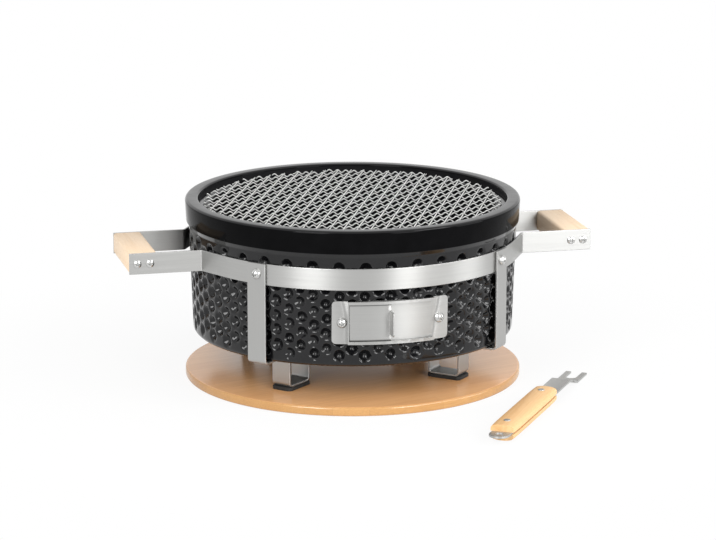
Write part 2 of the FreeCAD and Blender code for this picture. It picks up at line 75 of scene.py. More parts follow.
# Bowl, as the solids have it
RIM_CUT = 0.2 * MM
RIM_R = BOWL_HI.x + RIM_CUT
Z_BOWL, Z_RIM = BOWL_LO.z, BOWL_HI.z
RIM_LEAN = 1.2 * MM
NECK_R = RIM_R - 3.8 * MM
FOOT_R = NECK_R - 3.6 * MM
Z_NECK = Z_RIM - 27 * MM
Z_RIM_FACE = Z_NECK + 4.6 * MM
Z_WALL_TOP = Z_NECK - 1.5 * MM
RIM_BORE_R = RIM_R - 13.8 * MM
FIREBOX_R = RIM_BORE_R - 13.2 * MM
ASH_PIT_R = FIREBOX_R - 15 * MM
Z_LEDGE = Z_RIM - 7.6 * MM
Z_FLOOR = Z_BOWL + 15 * MM
Z_GRATE = Z_FLOOR + 50.2 * MM
INLET_X0, INLET_X1 = -38.5 * MM, -5.5 * MM
VENT_Z = (FRAME_LO.z + FRAME_HI.z) / 2
INLET_HALF = 12 * MM
INLET_Z0, INLET_Z1 = VENT_Z - INLET_HALF, VENT_Z + INLET_HALF

# Strip steel
STRIP_T = 2 * MM
STRIP_W = BAND_HI.z - BAND_LO.z
STRIP_EDGE = 0.45 * MM
Z_BAND = (BAND_LO.z + BAND_HI.z) / 2
ARM_Y = 48 * MM
ARM_END_X = BAND_HI.x
ARM_BEND_X = ARM_END_X - 72 * MM
BAND_R = -BAND_LO.y - STRIP_T / 2
LEG_R = BAND_R + STRIP_T + 0.1 * MM
LEG_OUT_R = LEG_R + STRIP_T / 2
FOOT_OUT_R = FOOT_R - 33.6 * MM
FOOT_LEN = 35 * MM
LEG_ANGLE = 47
LEG_ANGLES = (LEG_ANGLE, 180 - LEG_ANGLE, 180 + LEG_ANGLE, 360 - LEG_ANGLE)
STRAP_DIP = STRIP_T + 0.1 * MM  # the strap that passes under the other one
STRIP_BRUSH = (12, 2400, 1)  # brush lines to the metre, along and across the strip
PLATE_BRUSH = (14, 14, 2600)  # the same on a plate, along X, Y and Z

# Plating of the fixings and drawn wire
PLATED = {"grain": 260, "shade": (0.85, 0.8), "metallic": 1.0, "rough": (0.14, 0.3), "lift": 0.08}
DRAWN = {"grain": 340, "shade": (0.86, 0.75), "metallic": 0.75, "rough": (0.36, 0.5), "lift": 0.1}

# Lifter
LIFTER_TURN = math.radians(56.5)
GRIP_LEN, GRIP_W = 143 * MM, 24 * MM
GRIP_MID = (GRIP_LO + GRIP_HI) / 2

# Stage
FLOOR_HALF = 6.0
FLOOR_Z = -0.5 * MM
SHADE_R, WHITE_R = 0.2, 0.5  # the floor goes over to plain white between these reaches
ROOM = 0.55  # strength of the white room for all but the rays that see it
CAMERA_Z = 0.080  # point of the axis from which the camera's distance is counted
AIM_Z, AIM_RIGHT = 0.1047, 0.00545  # where it looks: height, and way to the right of the axis
LAMP_AIM = (0, 0, 0.1)
LAMPS = {  # place, width and height, watts
    "left_softbox": ((-1.6, -1.8, 1.3), (1.0, 1.6), 42),
    "front_softbox": ((0.95, -2.3, 0.95), (0.8, 1.2), 26),
    "right_softbox": ((1.7, -1.5, 1.7), (1.0, 1.0), 20),
    "right_strip": ((2.35, -0.85, 0.65), (1.0, 0.9), 16),
}

# Kinds of settings
Tone = partial(bpy.props.FloatVectorProperty, subtype="COLOR", min=0, max=1)
Length = partial(bpy.props.FloatProperty, subtype="DISTANCE", unit="LENGTH")
Angle = partial(bpy.props.FloatProperty, subtype="ANGLE", unit="ROTATION")


def grid_quads(rows, cols):
    """Quads between neighbouring points of a rows by cols grid that is closed across its columns."""
    i = np.arange(rows - 1)[:, None] * cols
    j = np.arange(cols)[None]
    k = (j + 1) % cols
    return np.stack([i + j, i + k, i + cols + k, i + cols + j], -1).reshape(-1, 4)


def poled(points, first_z, last_z):
    """Points of a grid of rings with two poles on the axis, and triangles from its end rings to them."""
    rows, sides = points.shape[:2]
    j = np.arange(sides)
    k = (j + 1) % sides
    count, last = rows * sides, (rows - 1) * sides
    fans = [np.stack([np.full(sides, count), k, j], -1),
            np.stack([last + j, last + k, np.full(sides, count + 1)], -1)]
    return np.concatenate([points.reshape(-1, 3), [(0, 0, first_z), (0, 0, last_z)]]), fans


def tube_part(points):
    """Closed tube from a grid of section rings: quads along it and one face over each end."""
    rows, cols = points.shape[:2]
    ends = [np.arange(cols)[None, ::-1], (rows - 1) * cols + np.arange(cols)[None]]
    return points, [grid_quads(rows, cols)] + ends


def rounded_rect(width, height, radius, steps):
    """Loop of a rectangle whose corners are quarter circles, anticlockwise, about its middle."""
    turn = np.linspace(0, math.pi / 2, steps + 1)
    centres = np.array([(1, 1), (-1, 1), (-1, -1), (1, -1)]) * (width / 2 - radius, height / 2 - radius)
    quarter = np.arange(4)[:, None] * math.pi / 2 + turn
    loop = centres[:, None] + radius * np.stack([np.cos(quarter), np.sin(quarter)], -1)
    return loop.reshape(-1, 2)


def bent_line(corners, radii, steps):
    """Points and directions along straight runs whose corners are arcs of the given radii."""
    corners = np.asarray(corners, float)
    points, ways = [corners[:1]], [np.diff(corners[:2], axis=0)]
    for before, corner, after, radius in zip(corners, corners[1:], corners[2:], radii):
        a, b = corner - before, after - corner
        a, b = a / np.linalg.norm(a), b / np.linalg.norm(b)
        turn = math.atan2(a[0] * b[1] - a[1] * b[0], a @ b)
        heading = math.atan2(a[1], a[0]) + turn * np.linspace(0, 1, steps + 1)
        way = np.stack([np.cos(heading), np.sin(heading)], -1)
        side = np.stack([np.sin(heading), -np.cos(heading)], -1) * math.copysign(radius, turn)
        start = corner - a * radius * math.tan(abs(turn) / 2)
        points.append(start - side[0] + side)
        ways.append(way)
    points.append(corners[-1:])
    ways.append(np.diff(corners[-2:], axis=0))
    ways = np.concatenate(ways)
    return np.concatenate(points), ways / np.linalg.norm(ways, axis=1)[:, None]


def strip_part(corners, radii, steps):
    """Flat strip in a plane: a rounded rectangle, thin across the line and wide out of the plane.

    Returns points as (along plane x, along plane y, out of plane), and the length along the strip.
    """
    line, way = bent_line(corners, radii, steps)
    loop = rounded_rect(STRIP_T, STRIP_W, STRIP_EDGE, 2)
    normal = np.stack([-way[:, 1], way[:, 0]], -1)
    points = np.empty((len(line), len(loop), 3))
    points[..., :2] = line[:, None] + normal[:, None] * loop[None, :, :1]
    points[..., 2] = loop[None, :, 1]
    along = np.concatenate([[0], np.cumsum(np.linalg.norm(np.diff(line, axis=0), axis=1))])
    return points, along


def turned(profile, sides):
    """Closed solid of revolution about Z from (r, z) points that start and end on the axis."""
    profile = np.asarray(profile, float)
    angle = np.arange(sides) * TAU / sides
    ring = profile[1:-1]
    points = np.stack([ring[:, :1] * np.cos(angle), ring[:, :1] * np.sin(angle),
                       np.broadcast_to(ring[:, 1:], (len(ring), sides))], -1)
    verts, fans = poled(points, profile[0, 1], profile[-1, 1])
    return verts, [grid_quads(len(ring), sides)] + fans


def rounded_outline(corners, steps):
    """(r, z) points of an outline whose corners (r, z, radius) are rounded by arcs."""
    corners = np.asarray(corners, float)
    line, _ = bent_line(corners[:, :2], np.maximum(corners[1:-1, 2], MERGE), steps)
    keep = np.concatenate([[True], np.linalg.norm(np.diff(line, axis=0), axis=1) > 2 * MERGE])
    return line[keep]


def wall_radius(z):
    """Outside of the bowl's wall without its dimples: a straight flare from foot to neck."""
    return FOOT_R + (NECK_R - FOOT_R) * (z - Z_BOWL) / (Z_NECK - Z_BOWL)


def placed(points, normal, origin):
    """Points built about +Z, turned so that +Z is the normal, and moved to the origin."""
    turn = np.array(Vector(normal).to_track_quat("Z", "Y").to_matrix())
    return points @ turn.T + np.asarray(origin, float)


def about_z(points, angle):
    """Points turned about Z by an angle in radians."""
    c, s = math.cos(angle), math.sin(angle)
    return points @ np.array([[c, -s, 0], [s, c, 0], [0, 0, 1]]).T


def round_the_bowl(points, angle):
    """Turns points built facing +X to face an angle in degrees from -Y."""
    return about_z(points, math.radians(angle - 90))


def make_piece(name, parts, material, body, replaces=(), sharp=40, uv=None):
    """One closed piece from its (vertices, faces) parts, with its finish, that rides on its body."""
    verts = [v.reshape(-1, 3) for v, _ in parts]
    starts = np.cumsum([0] + [len(v) for v in verts])
    faces = [f for (_, blocks), start in zip(parts, starts)
             for block in blocks for f in (block + start).tolist()]
    mesh = bpy.data.meshes.new(name)
    mesh.from_pydata(np.concatenate(verts).tolist(), [], faces)
    if uv is not None:
        layer = mesh.uv_layers.new(name="along")
        corner = np.empty(len(mesh.loops), np.int32)
        mesh.loops.foreach_get("vertex_index", corner)
        layer.data.foreach_set("uv", uv[corner].astype(np.float32).ravel())
    shell = bmesh.new()
    shell.from_mesh(mesh)
    bmesh.ops.recalc_face_normals(shell, faces=shell.faces)
    shell.to_mesh(mesh)
    shell.free()
    return finished(name, mesh, material, sharp, body, replaces)


def linked(name, data):
    """New object in the scene."""
    made = bpy.data.objects.new(name, data)
    bpy.context.scene.collection.objects.link(made)
    return made


def finished(name, mesh, material, sharp, body, replaces):
    """Object of a mesh, smooth but for edges past an angle, that rides on its body in its solids' place."""
    mesh.materials.clear()
    mesh.materials.append(material)
    mesh.shade_smooth()
    mesh.set_sharp_from_angle(angle=math.radians(sharp))
    piece = linked(name, mesh)
    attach(piece, body)
    if replaces:
        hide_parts(*replaces)
    return piece


def of_faces(mesh, field):
    """Middles or normals of a mesh's faces, one row each."""
    rows = np.empty(len(mesh.polygons) * 3)
    mesh.polygons.foreach_get(field, rows)
    return rows.reshape(-1, 3)


def softened_copy(node, name, width, material, body, reshape=None):
    """Copy of a solid with its triangles merged into flats and its sharp edges broken by a small bevel.

    A reshape function may move the points first: it takes and returns their coordinates.
    """
    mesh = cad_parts[node].data.copy()
    mesh.name = name
    shell = bmesh.new()
    shell.from_mesh(mesh)
    bmesh.ops.remove_doubles(shell, verts=shell.verts, dist=MERGE)
    bmesh.ops.dissolve_limit(shell, angle_limit=FLAT_ANGLE, verts=shell.verts, edges=shell.edges)
    shell.to_mesh(mesh)
    shell.free()
    if reshape:
        points = np.empty(len(mesh.vertices) * 3)
        mesh.vertices.foreach_get("co", points)
        mesh.vertices.foreach_set("co", reshape(points.reshape(-1, 3)).ravel())
    piece = finished(name, mesh, material, SOFT_ANGLE, body, (node,))
    bevel = piece.modifiers.new("broken edge", "BEVEL")
    bevel.width = width
    bevel.segments = 2
    bevel.limit_method = "ANGLE"
    bevel.angle_limit = math.radians(SOFT_ANGLE)
    bevel.harden_normals = True


class Finish:
    """A node material or world under construction, with short ways to add nodes and wire them."""

    def __init__(self, name, data=bpy.data.materials, shader="Principled BSDF"):
        """Starts from the nodes that a new material or world comes with."""
        self.material = data.new(name)
        self.material.use_nodes = True
        self.tree = self.material.node_tree
        self.shader = self.tree.nodes[shader]

    def fill(self, socket, value):
        """Wires a socket to another node's output, or sets its own number, vector or colour."""
        if isinstance(value, bpy.types.NodeSocket):
            self.tree.links.new(value, socket)
        elif socket.type == "RGBA":
            socket.default_value = (*value, 1)[:4]
        else:
            socket.default_value = value

    def feed(self, node, **inputs):
        """Fills a node's inputs by name, with an underscore for each space."""
        for name, value in inputs.items():
            self.fill(node.inputs[name.replace("_", " ")], value)

    def node(self, kind, *values, **inputs):
        """New shader node: values fill its first inputs in order, and the rest go by name."""
        made = self.tree.nodes.new("ShaderNode" + kind)
        for socket, value in zip(made.inputs, values):
            self.fill(socket, value)
        self.feed(made, **inputs)
        return made

    def coords(self, kind="Object", scale=(1, 1, 1), turn=(0, 0, 0), shift=(0, 0, 0)):
        """Coordinates that are turned first and then stretched, so that grain follows the turned X axis."""
        source = self.node("TexCoord").outputs[kind]
        turned_to = self.node("Mapping", Vector=source, Rotation=turn, Location=shift)
        return self.node("Mapping", Vector=turned_to.outputs[0], Scale=scale).outputs[0]

    def noise(self, vector, scale, detail=3, **inputs):
        """Cloudy value about one half, with so many clouds to the metre."""
        return self.node("TexNoise", Vector=vector, Scale=scale, Detail=detail, **inputs).outputs["Fac"]

    def ramp(self, value, *stops):
        """Colour that runs through the stops, each a place and a colour, as the value rises."""
        made = self.node("ValToRGB", Fac=value)
        points = made.color_ramp.elements
        while len(points) < len(stops):
            points.new(0.5)
        for point, (place, colour) in zip(points, stops):
            point.position = place
            point.color = (*colour, 1)
        return made.outputs[0]

    def grey(self, value, low, high, start=0.0, end=1.0):
        """Straight line from low to high while the value goes from start to end."""
        made = self.node("MapRange", Value=value, To_Min=low, To_Max=high, From_Min=start, From_Max=end)
        return made.outputs[0]

    def mix(self, factor, a, b):
        """Colour that goes from a to b as the factor goes from 0 to 1."""
        made = self.node("Mix")
        made.data_type = "RGBA"
        for socket, value in zip((made.inputs[0], made.inputs[6], made.inputs[7]), (factor, a, b)):
            self.fill(socket, value)
        return made.outputs[2]

    def math(self, operation, a, b=0.0):
        """One sum on two values."""
        made = self.node("Math", a, b)
        made.operation = operation
        return made.outputs[0]

    def bump(self, height, **inputs):
        """Normal that leans as if the height were carved."""
        return self.node("Bump", Height=height, **inputs).outputs[0]

    def done(self, **inputs):
        """Fills the shader and hands over the finished material or world."""
        self.feed(self.shader, **inputs)
        return self.material


def toned(colour, share):
    """Colour times a share, or times one share for each of its channels."""
    return np.multiply(colour, share).tolist()


def glaze_finish(name, colour, ior, dull):
    """Black glaze: a soft orange peel over slow waves, a shade greyer and duller in patches."""
    f = Finish(name)
    at = f.coords()
    slow = f.noise(at, 28, detail=2)
    peel = f.bump(f.noise(at, 420, detail=2), Strength=0.04, Distance=0.6 * MM)
    lift = f.bump(slow, Strength=0.10, Distance=4 * MM, Normal=peel)
    tint = f.ramp(f.noise(at, 60, detail=4), (0.3, colour), (0.75, toned(colour, 1.7)))
    return f.done(Base_Color=tint, Roughness=f.grey(f.noise(at, 45), dull, dull + 0.07), Normal=lift, IOR=ior)


def steel_finish(name, colour, at_kind, scale, gap=None):
    """Satin stainless: long fine brush lines that draw its highlights out, with slow handling marks."""
    f = Finish(name)
    lines = f.noise(f.coords(at_kind, scale), 1.0, detail=4, Roughness=0.65)
    marks = f.noise(f.coords(), 35)
    shade = f.ramp(lines, (0.25, toned(colour, 0.93)), (0.75, np.minimum(1, toned(colour, 1.04))))
    # With a gap, a dark line of painted shade is laid where the door runs under its rails.
    if gap:
        shade = painted_rail_shade(f, shade, gap, 1.8 * MM)
    rough = f.math("ADD", f.grey(lines, 0.34, 0.42, 0.3, 0.7), f.grey(marks, -0.03, 0.04))
    lift = f.bump(lines, Strength=0.05, Distance=0.2 * MM)
    return f.done(Base_Color=shade, Metallic=1.0, Roughness=rough, Normal=lift,
                  Anisotropic=0.8, Anisotropic_Rotation=0.25)


def painted_rail_shade(f, shade, gap, reach):
    """Painted shade: a dark line where the door runs under its rails; it grows with the height from the
    door's middle.
    """
    up = f.node("SeparateXYZ", Vector=f.coords(shift=(0, 0, -VENT_Z))).outputs["Z"]
    shade_weight = f.grey(f.math("ABSOLUTE", up), 0, 0.85, gap - reach, gap - 0.3 * reach)
    return f.mix(shade_weight, shade, (0.03, 0.03, 0.03))


def bare_finish(name, colour, grain, shade, metallic, rough, lift):
    """Bolts and wire: one fine noise shades them from a darker tone, dulls them and gives them marks."""
    f = Finish(name)
    marks = f.noise(f.coords(), grain)
    dark, pale_at = shade
    tint = f.ramp(marks, (0.3, toned(colour, dark)), (pale_at, colour))
    return f.done(Base_Color=tint, Metallic=metallic, Roughness=f.grey(marks, *rough),
                  Normal=f.bump(marks, Strength=lift, Distance=0.3 * MM))


def wood_finish(name, pale, dark, turn, ring=90.0):
    """Straight-grained wood: stretched growth lines, fine flecks and pores along the grain.

    The grain runs along the X axis of the turned coordinates.
    """
    f = Finish(name)
    at = f.coords(scale=(0.06, 1, 1), turn=(0, 0, turn))
    fleck_at = f.coords(scale=(0.12, 1, 1), turn=(0, 0, turn))
    growth = f.noise(at, ring, Roughness=0.55, Distortion=0.6)
    fibre = f.noise(at, 900, Roughness=0.6)
    fleck = f.noise(fleck_at, 650, detail=1)
    late = [0.93 * c + 0.07 * d for c, d in zip(pale, dark)]
    body = f.ramp(growth, (0.28, dark), (0.5, pale), (0.72, late))
    body = f.mix(f.grey(fibre, 0.0, 0.35, 0.45, 0.8), body, dark)
    body = f.mix(f.grey(fleck, 0.0, 0.5, 0.66, 0.8), body, toned(dark, 0.72))
    rings = f.bump(growth, Strength=0.08, Distance=0.4 * MM)
    lift = f.bump(fibre, Strength=0.15, Distance=0.3 * MM, Normal=rings)
    return f.done(Base_Color=body, Roughness=f.grey(fibre, 0.42, 0.6), Normal=lift)


def bamboo_finish(name, pale, dark, strip):
    """Laminated bamboo under varnish: strips side by side, each a little different, with fibres and clouds.

    A brick pattern, one brick a strip, gives each strip its tone and its joints.
    """
    f = Finish(name)
    turn = (0, 0, math.radians(-18))
    brick = f.node("TexBrick", Vector=f.coords(turn=turn), Scale=1.0, Mortar_Size=0.25 * MM,
                   Mortar_Smooth=0.6, Bias=0.0, Brick_Width=0.62, Row_Height=strip,
                   Color1=(0, 0, 0), Color2=(1, 1, 1), Mortar=(0.5, 0.5, 0.5))
    brick.offset = 0.37
    joint = brick.outputs["Fac"]
    fibre = f.noise(f.coords(scale=(0.02, 1, 1), turn=turn), 700, Roughness=0.6)
    cloud = f.noise(f.coords(scale=(0.35, 1, 1), turn=turn), 16)
    middle = [0.45 * p + 0.55 * d for p, d in zip(pale, dark)]
    body = f.ramp(brick.outputs["Color"], (0.0, middle), (1.0, pale))
    body = f.mix(f.grey(cloud, 0.0, 0.75, 0.42, 0.68), body, dark)
    body = f.mix(f.grey(fibre, 0.0, 0.45, 0.4, 0.75), body, toned(dark, 0.82))
    body = f.mix(f.math("MULTIPLY", joint, 0.2), body, toned(dark, 0.6))
    lift = f.bump(f.math("SUBTRACT", fibre, joint), Strength=0.1, Distance=0.4 * MM)
    return f.done(Base_Color=body, Roughness=f.grey(fibre, 0.16, 0.26), Normal=lift,
                  Specular_IOR_Level=0.8)


def rubber_finish():
    """Moulded rubber: matt black with a fine grain and dusty patches."""
    f = Finish("pad_rubber")
    at = f.coords()
    grain = f.noise(at, 1500, detail=2)
    dust = f.noise(at, 80, detail=4)
    tint = f.ramp(dust, (0.35, (0.008, 0.008, 0.008)), (0.8, (0.03, 0.03, 0.03)))
    return f.done(Base_Color=tint, Roughness=f.grey(dust, 0.62, 0.8),
                  Normal=f.bump(grain, Strength=0.2, Distance=0.3 * MM))


def iron_finish():
    """Sand-cast iron: coarse pitted skin, dark grey with a breath of rust."""
    f = Finish("cast_iron")
    at = f.coords()
    sand = f.noise(at, 480, detail=5, Roughness=0.65)
    rust = f.noise(at, 55, detail=4, Roughness=0.6)
    tint = f.ramp(rust, (0.35, (0.022, 0.021, 0.021)), (0.62, (0.045, 0.04, 0.037)),
                  (0.85, (0.075, 0.05, 0.038)))
    return f.done(Base_Color=tint, Metallic=0.6, Roughness=f.grey(sand, 0.5, 0.75),
                  Normal=f.bump(sand, Strength=0.45, Distance=0.8 * MM))


class GrillGlaze(bpy.types.PropertyGroup):
    """Glaze and dimples of the bowl"""
    colour: Tone(name="Glaze", description="Colour of the glaze", default=(0.004, 0.004, 0.0045))
    columns: bpy.props.IntProperty(name="Columns", description="Dimples round the bowl", default=80, min=20)
    dimple: Length(name="Dimple", description="Radius of a dimple", default=6.7 * MM)
    depth: Length(name="Depth", description="Depth of a dimple", default=6.0 * MM)
    pitch: Length(name="Pitch", description="Height from dimple to dimple in a column", default=14.5 * MM)
    lowest: Length(name="Lowest", description="Bowl's bottom to its lowest dimples", default=12.2 * MM)


class GrillGrid(bpy.types.PropertyGroup):
    """Wires of the cooking grid"""
    wire: Length(name="Wire", description="Wire diameter", default=1.25 * MM)
    warp: Length(name="Warp pitch", description="Straight wire to straight wire", default=13.1 * MM)
    weft: Length(name="Weft pitch", description="Crimped wire to crimped wire", default=15.4 * MM)
    turn: Angle(name="Turn", description="Direction of the straight wires", default=math.radians(66.9))
    radius: Length(name="Radius", description="Middle of the grid to the wires' ends", default=149 * MM)


class GrillMetal(bpy.types.PropertyGroup):
    """Colours of the metals and sizes of the fixings"""
    strip: Tone(name="Strip", description="Colour of the satin strip", default=(0.46, 0.46, 0.45))
    bright: Tone(name="Bright", description="Colour of bolts and screws", default=(0.62, 0.62, 0.61))
    # The straight and crimped wires are one wire: the straight ones are painted lighter and the crimped ones
    # darker, painted light and shade for how each catches the light.
    warp: Tone(name="Warp", description="Colour of the grid's straight wires", default=(0.82, 0.82, 0.80))
    weft: Tone(name="Weft", description="Colour of the grid's crimped wires", default=(0.50, 0.50, 0.49))
    screw: Length(name="Screw", description="Radius of a handle screw's head", default=4 * MM)
    bolt: Length(name="Bolt", description="Radius of a leg bolt's head", default=5 * MM)


class GrillWood(bpy.types.PropertyGroup):
    """Tones of the wooden pieces"""
    beech: Tone(name="Beech", description="Pale tone of the handles", default=(0.90, 0.70, 0.50))
    board: Tone(name="Board", description="Pale tone of the board's top", default=(0.84, 0.46, 0.21))
    # The edge's tone is set darker than the top's: painted shade that holds back the stronger lamp light on
    # the side faces.
    edge: Tone(name="Edge", description="Pale tone of the board's edge", default=(0.56, 0.30, 0.10))
    grip: Tone(name="Grip", description="Pale tone of the lifter's grip", default=(0.82, 0.52, 0.25))
    strip: Length(name="Strip", description="Width of a bamboo strip", default=19 * MM)


class GrillStage(bpy.types.PropertyGroup):
    """Camera and floor"""
    azimuth: Angle(name="Azimuth", description="Camera round from the front", default=math.radians(-13.5))
    elevation: Angle(name="Elevation", description="Camera above the horizon", default=math.radians(13.98))
    distance: Length(name="Distance", description="Camera to the grill", default=3.2)
    lens: bpy.props.FloatProperty(name="Lens", description="Focal length in millimetres", default=159.5)
    floor: Tone(name="Floor", description="Colour of the floor", default=(0.90, 0.90, 0.90))
    glow: bpy.props.FloatProperty(
        name="Glow", description="Share of plain white in the floor that the camera sees", default=0.88,
        subtype="FACTOR", min=0, max=1)


def satin_plate(metal):
    """Satin steel of pressed plates, brushed level."""
    return bpy.data.materials.get("satin_plate") or steel_finish(
        "satin_plate", metal.strip, "Object", PLATE_BRUSH)


class GRILL_OT_bowl(bpy.types.Operator):
    """Bowl with a full round rim, ledges, air inlet and a dimpled wall"""
    bl_idname = "grill.bowl"
    bl_label = "Glazed bowl"

    COLUMNS_PER_DIMPLE = 9
    ROWS_PER_PITCH = 11
    ROWS_BELOW = 5  # rows of points under the middle of the lowest dimples
    LOW_EDGE = 6 * MM  # the wall goes over into the foot's round here

    TAPER = 1.7  # power of a dimple's section: 1 is a cone, 2 a bowl
    SEED, LEVELS = 11, 12  # draws are made for so many dimples in a column
    SCATTER = 1.0 * MM
    DEEP, WIDE = (0.7, 1.05), (0.84, 1.0)

    EASE = 14  # columns beside the inlet that give way to its upright edges
    INLET_MIN_R = 0.1  # rows nearer to the axis are floor

    # Share of the glaze's colour, index of refraction and least roughness of each finish
    # The rim's face gets a copy of the glaze with half its colour and little reflection, painted shade for
    # the dark reflection on it; the inside of the bowl gets a rough, weakly reflecting copy, painted shade
    # for the inside.
    FINISHES = {"wall_glaze": (1, 1.43, 0.05), "rim_face_shaded_glaze": (0.5, 1.12, 0.05),
                "rim_top_glaze": (1, 1.35, 0.05), "hearth_shaded_glaze": (1, 1.2, 0.7)}
    WALL, RIM_FACE, RIM_TOP, HEARTH = range(4)
    INWARD, UPWARD = -0.3, 0.5  # parts of a face's normal
    HEARTH_R = RIM_BORE_R - 25 * MM

    def outline(self, glaze):
        """(r, z) rows from the floor's middle, over the rim, down the wall, to the middle below."""
        half_bore = (RIM_BORE_R, (Z_LEDGE + Z_RIM) / 2, 0)
        below_neck = (NECK_R - 0.2 * MM, Z_NECK - 6 * MM, 0)
        hearth = rounded_outline([
            (0, Z_FLOOR, 0), (ASH_PIT_R, Z_FLOOR, 6 * MM), (ASH_PIT_R, INLET_Z0, 0), (ASH_PIT_R, INLET_Z1, 0),
            (ASH_PIT_R, Z_GRATE, 1.5 * MM), (FIREBOX_R, Z_GRATE, 2 * MM), (FIREBOX_R, Z_LEDGE, 2 * MM),
            (RIM_BORE_R, Z_LEDGE, 1.2 * MM), half_bore], 2)
        rim = rounded_outline([
            half_bore, (RIM_BORE_R, Z_RIM, 2.5 * MM), (RIM_R - RIM_CUT, Z_RIM, 3 * MM),
            (RIM_R - RIM_LEAN, Z_RIM_FACE, 1.5 * MM), (NECK_R, Z_NECK, 4 * MM), below_neck], 6)
        inside = np.concatenate([hearth, rim[1:-1]])
        step = glaze.pitch / self.ROWS_PER_PITCH
        low = Z_BOWL + self.LOW_EDGE
        z = np.arange(Z_BOWL + glaze.lowest - step * self.ROWS_BELOW, Z_WALL_TOP, step)[::-1]
        for edge in (INLET_Z0, INLET_Z1):
            z[np.argmin(abs(z - edge))] = edge
        wall = np.stack([wall_radius(z), z], -1)
        under = rounded_outline([(wall[-1, 0], low, 0), (FOOT_R, Z_BOWL, 5 * MM), (0, Z_BOWL, 0)], 5)[1:]
        return inside, wall[wall[:, 1] > low], under

    def dimples(self, glaze, angle, z):
        """Depth at each (z, angle): a round-tipped cone about the nearest dimple of a staggered lattice."""
        spacing = TAU / glaze.columns
        column = np.round(angle / spacing).astype(int)
        odd = column % 2
        base = Z_BOWL + glaze.lowest + odd * glaze.pitch / 2
        row = np.round((z[:, None] - base) / glaze.pitch).astype(int)
        top = np.floor((Z_WALL_TOP - glaze.dimple - base) / glaze.pitch).astype(int)
        allowed = (row >= 0) & (row <= top)
        rng = np.random.default_rng(self.SEED)
        shift = rng.uniform(-self.SCATTER, self.SCATTER, (2, glaze.columns, self.LEVELS))
        deep = rng.uniform(*self.DEEP, (glaze.columns, self.LEVELS))
        col, row = np.broadcast_arrays(column % glaze.columns, np.clip(row, 0, self.LEVELS - 1))
        across = (angle - column * spacing) * NECK_R - shift[0, col, row]
        up = z[:, None] - base - row * glaze.pitch - shift[1, col, row]
        wide = glaze.dimple * rng.uniform(*self.WIDE, (glaze.columns, self.LEVELS))
        away = np.hypot(across, up) / wide[col, row]
        return np.where(allowed, glaze.depth * deep[col, row] * np.clip(1 - away ** self.TAPER, 0, 1), 0)

    def passage(self, shape, near, first, left, right):
        """Which quads stay beside the inlet, and the roof, sill and cheeks between its two mouths."""
        sides = shape[1]
        inner, outer = near[near < first], near[near >= first]
        keep = np.ones(shape, bool)
        keep[inner[0]:inner[-1], left:right] = False
        keep[outer[0]:outer[-1], left:right] = False
        j = np.arange(left, right)
        top_in, low_in = inner[-1] * sides, inner[0] * sides
        top_out, low_out = outer[0] * sides, outer[-1] * sides
        lining = [np.stack([top_in + j, top_in + j + 1, top_out + j + 1, top_out + j], -1),
                  np.stack([low_in + j + 1, low_in + j, low_out + j, low_out + j + 1], -1)]
        lining += [np.concatenate([outer * sides + c, inner * sides + c])[None] for c in (left, right)]
        return keep, lining

    def share_out(self, mesh, finishes):
        """Gives each face its finish by where its middle lies and which way it faces."""
        for finish in finishes:
            mesh.materials.append(finish)
        x, y, z = of_faces(mesh, "center").T
        east, north, up = of_faces(mesh, "normal").T
        away = np.hypot(x, y)
        level = up > self.UPWARD
        hearth = (east * x + north * y < self.INWARD * away) | (level & (away < self.HEARTH_R))
        rim = (z > Z_RIM_FACE) & (away > RIM_BORE_R)
        # The rim's face and the inside of the bowl take the darkened copies of the glaze: painted shade.
        share = np.select([rim & level, rim, hearth], [self.RIM_TOP, self.RIM_FACE, self.HEARTH], self.WALL)
        mesh.polygons.foreach_set("material_index", share.astype(np.int32))

    def execute(self, context):
        """The outline turned about Z, less the dimples, with the inlet cut through upright columns."""
        glaze = context.scene.grill_glaze
        sides = glaze.columns * self.COLUMNS_PER_DIMPLE
        inside, wall, under = self.outline(glaze)
        rows = np.concatenate([inside, wall, under])
        ring = rows[1:-1]
        base = (np.arange(sides) - sides // 2) * TAU / sides
        left, right = (int(np.argmin(abs(base - math.asin(x / RIM_R)))) for x in (INLET_X0, INLET_X1))
        angle = np.broadcast_to(base, (len(ring), sides)).copy()
        level = abs(ring[:, 1] - VENT_Z) <= INLET_HALF + 0.1 * MERGE
        near = np.where(level & (ring[:, 0] > self.INLET_MIN_R))[0]
        span = np.arange(left - self.EASE, right + self.EASE + 1)
        for i in near:
            edge = np.arcsin(np.array([INLET_X0, INLET_X1]) / ring[i, 0])
            angle[i, span] = np.interp(span, (span[0], left, right, span[-1]),
                                       (base[span[0]], *edge, base[span[-1]]))
        first = len(inside) - 1
        depth = self.dimples(glaze, base, wall[:, 1])
        behind = (wall[:, 1] > INLET_Z0 - MM) & (wall[:, 1] < INLET_Z1 + MM)
        depth[np.ix_(behind, np.arange(left - 1, right + 2))] = 0
        radius = np.broadcast_to(ring[:, :1], angle.shape).copy()
        radius[first:first + len(wall)] -= depth
        points = np.stack([radius * np.sin(angle), -radius * np.cos(angle),
                           np.broadcast_to(ring[:, 1:], angle.shape)], -1)
        verts, fans = poled(points, rows[0, 1], rows[-1, 1])
        quads = grid_quads(len(ring), sides).reshape(len(ring) - 1, sides, 4)
        keep, lining = self.passage(quads.shape[:2], near, first, left, right)
        faces = [quads[keep]] + lining + fans
        finishes = [glaze_finish(name, toned(glaze.colour, share), ior, dull)
                    for name, (share, ior, dull) in self.FINISHES.items()]
        bowl = make_piece("glazed_bowl", [(verts, faces)], finishes[0], "grill",
                          ("ceramic_base", "ceramic_wall", "ceramic_rim"), 50)
        self.share_out(bowl.data, finishes[1:])
        return {"FINISHED"}


